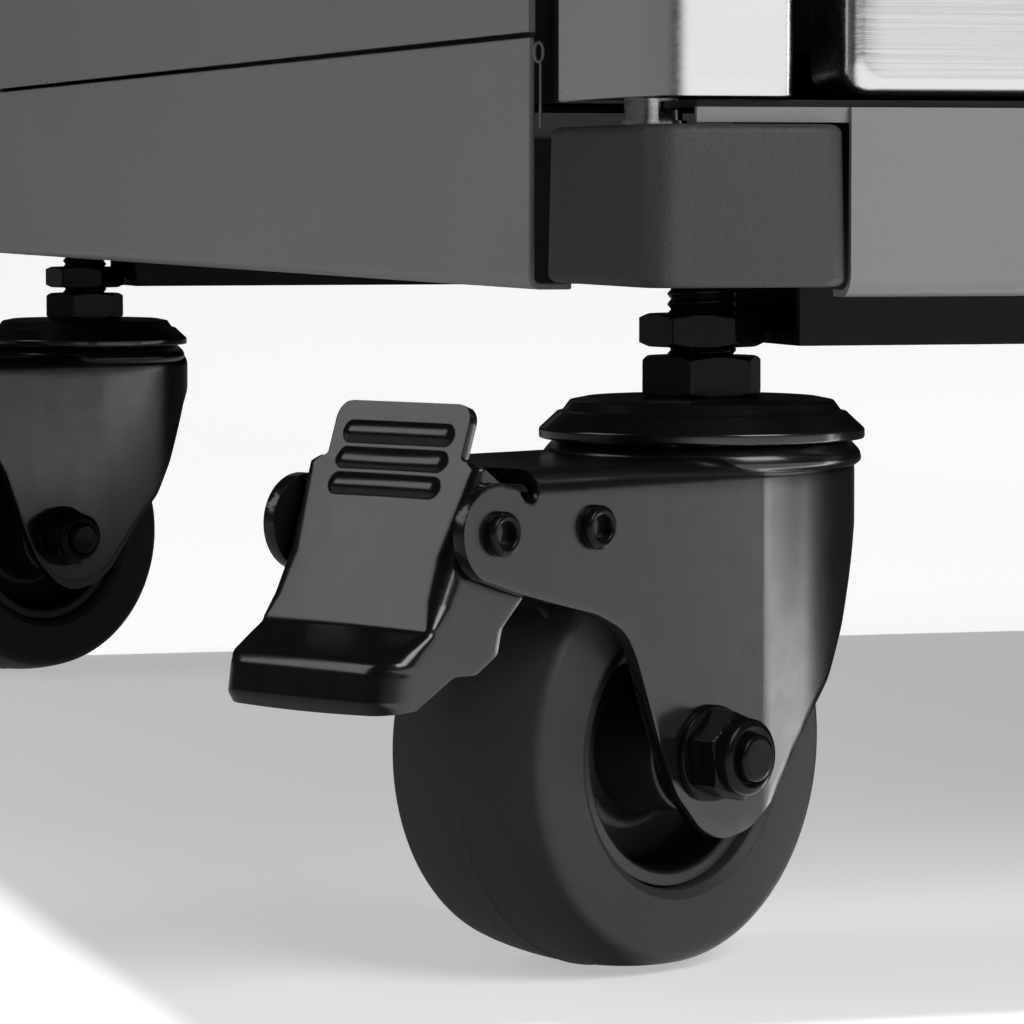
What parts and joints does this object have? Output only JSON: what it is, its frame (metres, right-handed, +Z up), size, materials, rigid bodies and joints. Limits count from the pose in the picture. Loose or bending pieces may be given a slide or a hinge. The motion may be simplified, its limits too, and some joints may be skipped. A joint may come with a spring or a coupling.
{
  "type": "rolling tool chest",
  "caption": "Sheet-metal tool chest with stainless front, sliding drawers, wooden worktop and side handle, on swivel casters with foot brakes.",
  "frame": {"origin": "on the floor, under the middle of the whole object", "axes": "+Z up, the drawers open towards -Y, +X to the right"},
  "size_m": [0.9076, 0.6447, 0.94],
  "materials": {
    "worktop_wood": "oiled",
    "bright_stud": "polished",
    "handle_tube": "brushed",
    "bracket_black": "satin black",
    "black_steel": "gloss black",
    "stainless": "fine horizontal brushing",
    "grained_plastic": "fine grain",
    "wheel_tread": "fine grain",
    "hub_plastic": "moulded",
    "pull_aluminium": "satin anodised",
    "zinc_steel": "zinc plated",
    "grey_paint": "satin powder coat"
  },
  "bodies": {
    "chest": {"side_panel_left": "grey_paint", "side_panel_right": "grey_paint", "side_skirts": "grey_paint", "back_panel": "grey_paint", "bottom_pan": "grey_paint", "front_skirt": "grey_paint", "under_rails": "black_steel", "front_column_left": "stainless", "front_column_right": "stainless", "column_studs": "bright_stud", "inner_posts": "black_steel", "top_frame": "grey_paint", "worktop": "worktop_wood", "corner_block_fl": "grained_plastic", "corner_block_fr": "grained_plastic", "corner_block_rl": "grained_plastic", "corner_block_rr": "grained_plastic", "side_handle": "handle_tube", "handle_brackets": "bracket_black", "slide_outer_members": "zinc_steel", "caster_stems": "black_steel", "stem_nuts": "black_steel", "swivel_caps": "black_steel", "swivel_balls": "bright_stud"},
    "drawer_1": {"drawer_front_1": "stainless", "drawer_box_1": "zinc_steel", "drawer_pull_1": "pull_aluminium", "slide_inner_1": "zinc_steel"},
    "drawer_2": {"drawer_front_2": "stainless", "drawer_box_2": "zinc_steel", "drawer_pull_2": "pull_aluminium", "slide_inner_2": "zinc_steel"},
    "drawer_3": {"drawer_front_3": "stainless", "drawer_box_3": "zinc_steel", "drawer_pull_3": "pull_aluminium", "slide_inner_3": "zinc_steel"},
    "drawer_4": {"drawer_front_4": "stainless", "drawer_box_4": "zinc_steel", "drawer_pull_4": "pull_aluminium", "slide_inner_4": "zinc_steel"},
    "swivel_fl": {"fork_fl": "black_steel", "axle_fl": "black_steel"},
    "wheel_fl": {"tyre_fl": "wheel_tread", "hub_fl": "hub_plastic"},
    "pedal_fl": {"brake_pedal_fl": "black_steel"},
    "shoe_fl": {"brake_shoe_fl": "black_steel"},
    "swivel_rl": {"fork_rl": "black_steel", "axle_rl": "black_steel"},
    "wheel_rl": {"tyre_rl": "wheel_tread", "hub_rl": "hub_plastic"},
    "pedal_rl": {"brake_pedal_rl": "black_steel"},
    "shoe_rl": {"brake_shoe_rl": "black_steel"},
    "swivel_fr": {"fork_fr": "black_steel", "axle_fr": "black_steel"},
    "wheel_fr": {"tyre_fr": "wheel_tread", "hub_fr": "hub_plastic"},
    "swivel_rr": {"fork_rr": "black_steel", "axle_rr": "black_steel"},
    "wheel_rr": {"tyre_rr": "wheel_tread", "hub_rr": "hub_plastic"}
  },
  "joints": [
    {"name": "drawer_slide_1", "type": "slide", "parent": "chest", "child": "drawer_1", "axis": [0, -1, 0], "range_m": [0, 0.42]},
    {"name": "drawer_slide_2", "type": "slide", "parent": "chest", "child": "drawer_2", "axis": [0, -1, 0], "range_m": [0, 0.42]},
    {"name": "drawer_slide_3", "type": "slide", "parent": "chest", "child": "drawer_3", "axis": [0, -1, 0], "range_m": [0, 0.42]},
    {"name": "drawer_slide_4", "type": "slide", "parent": "chest", "child": "drawer_4", "axis": [0, -1, 0], "range_m": [0, 0.42]},
    {"name": "swivel_turn_fl", "type": "hinge", "parent": "chest", "child": "swivel_fl", "pos_m": [-0.356, -0.2543, 0.0968], "axis": [0, 0, 1], "continuous": true},
    {"name": "wheel_roll_fl", "type": "hinge", "parent": "swivel_fl", "child": "wheel_fl", "pos_m": [-0.37672, -0.26641, 0.038], "axis": [0.5045, -0.8634, 0], "continuous": true},
    {"name": "pedal_press_fl", "type": "hinge", "parent": "swivel_fl", "child": "pedal_fl", "pos_m": [-0.42084, -0.29219, 0.0775], "axis": [0.5045, -0.8634, 0], "range_deg": [0, 14]},
    {"name": "shoe_press_fl", "type": "hinge", "parent": "swivel_fl", "child": "shoe_fl", "pos_m": [-0.40124, -0.28074, 0.0775], "axis": [0.5045, -0.8634, 0], "range_deg": [0, 4.9]},
    {"name": "swivel_turn_rl", "type": "hinge", "parent": "chest", "child": "swivel_rl", "pos_m": [-0.356, 0.2957, 0.0968], "axis": [0, 0, 1], "continuous": true},
    {"name": "wheel_roll_rl", "type": "hinge", "parent": "swivel_rl", "child": "wheel_rl", "pos_m": [-0.37798, 0.28605, 0.038], "axis": [0.4019, -0.9157, 0], "continuous": true},
    {"name": "pedal_press_rl", "type": "hinge", "parent": "swivel_rl", "child": "pedal_rl", "pos_m": [-0.42477, 0.26551, 0.0775], "axis": [0.4019, -0.9157, 0], "range_deg": [0, 14]},
    {"name": "shoe_press_rl", "type": "hinge", "parent": "swivel_rl", "child": "shoe_rl", "pos_m": [-0.40398, 0.27464, 0.0775], "axis": [0.4019, -0.9157, 0], "range_deg": [0, 4.9]},
    {"name": "swivel_turn_fr", "type": "hinge", "parent": "chest", "child": "swivel_fr", "pos_m": [0.356, -0.2543, 0.0968], "axis": [0, 0, 1], "continuous": true},
    {"name": "wheel_roll_fr", "type": "hinge", "parent": "swivel_fr", "child": "wheel_fr", "pos_m": [0.33462, -0.2652, 0.038], "axis": [0.454, -0.891, 0], "continuous": true},
    {"name": "swivel_turn_rr", "type": "hinge", "parent": "chest", "child": "swivel_rr", "pos_m": [0.356, 0.2957, 0.0968], "axis": [0, 0, 1], "continuous": true},
    {"name": "wheel_roll_rr", "type": "hinge", "parent": "swivel_rr", "child": "wheel_rr", "pos_m": [0.33462, 0.2848, 0.038], "axis": [0.454, -0.891, 0], "continuous": true}
  ],
  "couplings": [
    {"joint": "shoe_press_fl", "follows": "pedal_press_fl", "ratio": 0.35},
    {"joint": "shoe_press_rl", "follows": "pedal_press_rl", "ratio": 0.35}
  ]
}
